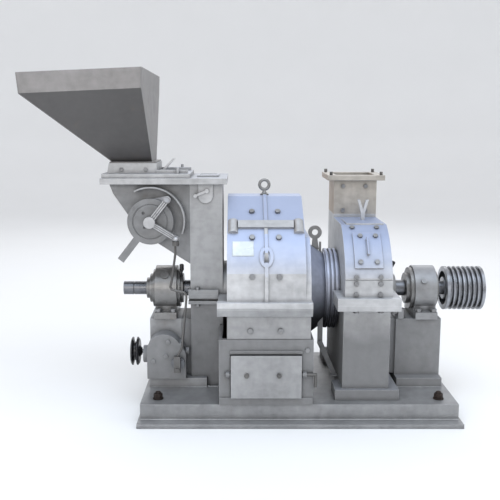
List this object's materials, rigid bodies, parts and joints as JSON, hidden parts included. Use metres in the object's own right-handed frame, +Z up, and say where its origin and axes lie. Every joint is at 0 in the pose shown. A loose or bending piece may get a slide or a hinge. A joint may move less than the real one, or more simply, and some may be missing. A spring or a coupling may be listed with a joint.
{
  "type": "pulverizer machine",
  "caption": "Horizontal impact pulverizer on a steel bed: hopper with ratchet feeder, hinged grinding chamber, classifier cone, built-in fan with upright outlet duct, grooved belt pulley.",
  "frame": {"origin": "centre of the bed's underside, on the floor", "axes": "+X along the main shaft towards the belt pulley, +Y to the rear, where the outlet duct stands, +Z up"},
  "size_m": [1.774, 0.7819, 1.309],
  "materials": {
    "silver_paint": "satin silver paint over cast iron and steel plate",
    "grey_paint": "oily grey paint",
    "dark_steel": "oiled dark steel",
    "rusty_steel": "rusted steel",
    "cast_steel": "rough cast",
    "black_paint": "gloss black paint",
    "bright_steel": "turned steel"
  },
  "bodies": {
    "frame": {"bed_frame": "silver_paint", "foundation_bolts": "rusty_steel", "casing_bolts": "dark_steel", "discharge_frame": "silver_paint", "lower_casing": "silver_paint", "lower_liner": "cast_steel", "cover_hinge_pins": "dark_steel", "classifier_cone": "silver_paint", "classifier_neck": "silver_paint", "classifier_stay": "silver_paint", "fan_lower_housing": "silver_paint", "fan_upper_housing": "silver_paint", "fan_inspection_cover": "silver_paint", "fan_shaft_seal": "silver_paint", "grease_cups": "black_paint", "outlet_duct": "silver_paint", "outlet_studs": "dark_steel", "left_pedestal": "silver_paint", "right_pedestal": "silver_paint", "left_bearing_housing": "grey_paint", "right_bearing_housing": "silver_paint", "bearing_glands": "grey_paint", "bearing_outer_rings": "bright_steel", "column_lower": "silver_paint", "column_upper": "silver_paint", "column_lid": "silver_paint", "sight_cover": "silver_paint", "feeder_body": "silver_paint", "feeder_top_flange": "silver_paint", "gate_frame": "silver_paint", "hopper": "silver_paint", "feed_guard": "silver_paint", "gearbox_housing": "silver_paint", "gearbox_cover": "silver_paint"},
    "cover": {"upper_casing": "silver_paint", "upper_liner": "cast_steel", "liner_bolts": "dark_steel", "lifting_eyebolt": "bright_steel", "nameplate": "bright_steel"},
    "flap": {"flap_door": "silver_paint", "flap_rod": "dark_steel"},
    "rotor": {"main_shaft": "bright_steel", "grinding_rotor": "cast_steel", "swing_hammers": "cast_steel", "classifier_wheel": "cast_steel", "fan_wheel": "cast_steel", "belt_pulley": "bright_steel", "bearing_inner_rings": "bright_steel"},
    "roll": {"feed_roll": "cast_steel", "feed_shaft": "bright_steel", "ratchet_wheel": "bright_steel"},
    "shroud": {"feed_shroud": "silver_paint"},
    "rocker": {"rocker_arm": "bright_steel"},
    "pawl": {"feed_pawl": "bright_steel"},
    "rod": {"connecting_rod": "dark_steel"},
    "worm": {"worm_shaft": "bright_steel", "gearbox_pulley": "black_paint"},
    "crank": {"crank_shaft": "bright_steel"},
    "gate": {"slide_gate": "bright_steel"},
    "latch": {"sight_latch": "bright_steel"}
  },
  "joints": [
    {"name": "rotor_spin", "type": "hinge", "parent": "frame", "child": "rotor", "pos_m": [0, 0, 0.45], "axis": [1, 0, 0], "continuous": true},
    {"name": "cover_hinge", "type": "hinge", "parent": "frame", "child": "cover", "pos_m": [-0.1255, 0.382, 0.45], "axis": [-1, 0, 0], "range_deg": [0, 95]},
    {"name": "flap_pivot", "type": "hinge", "parent": "frame", "child": "flap", "pos_m": [-0.1255, -0.3375, 0.19402], "axis": [-1, 0, 0], "range_deg": [0, 80]},
    {"name": "feed_roll_spin", "type": "hinge", "parent": "frame", "child": "roll", "pos_m": [-0.565, 0, 0.742], "axis": [0, -1, 0], "continuous": true},
    {"name": "shroud_turn", "type": "hinge", "parent": "frame", "child": "shroud", "pos_m": [-0.565, -0.156, 0.742], "axis": [0, -1, 0], "range_deg": [-30, 30]},
    {"name": "rocker_swing", "type": "hinge", "parent": "frame", "child": "rocker", "pos_m": [-0.565, -0.183, 0.742], "axis": [0, -1, 0], "range_deg": [0, 17]},
    {"name": "pawl_lift", "type": "hinge", "parent": "rocker", "child": "pawl", "pos_m": [-0.49682, -0.183, 0.82833], "axis": [0, 1, 0], "range_deg": [0, 25]},
    {"name": "rod_turn", "type": "hinge", "parent": "rocker", "child": "rod", "pos_m": [-0.46556, -0.203, 0.68035], "axis": [0, -1, 0], "range_deg": [-22, 3]},
    {"name": "worm_spin", "type": "hinge", "parent": "frame", "child": "worm", "pos_m": [-0.52, -0.12, 0.219], "axis": [1, 0, 0], "continuous": true},
    {"name": "crank_spin", "type": "hinge", "parent": "frame", "child": "crank", "pos_m": [-0.46556, -0.12, 0.186], "axis": [0, 1, 0], "continuous": true},
    {"name": "gate_slide", "type": "slide", "parent": "frame", "child": "gate", "axis": [1, 0, 0], "range_m": [0, 0.14]},
    {"name": "latch_turn", "type": "hinge", "parent": "frame", "child": "latch", "pos_m": [-0.35, -0.115, 0.856], "axis": [0, -1, 0], "range_deg": [0, 90]}
  ],
  "couplings": [
    {"joint": "rod_turn", "follows": "rocker_swing", "ratio": -1.09},
    {"joint": "crank_spin", "follows": "worm_spin", "ratio": 0.03333}
  ]
}
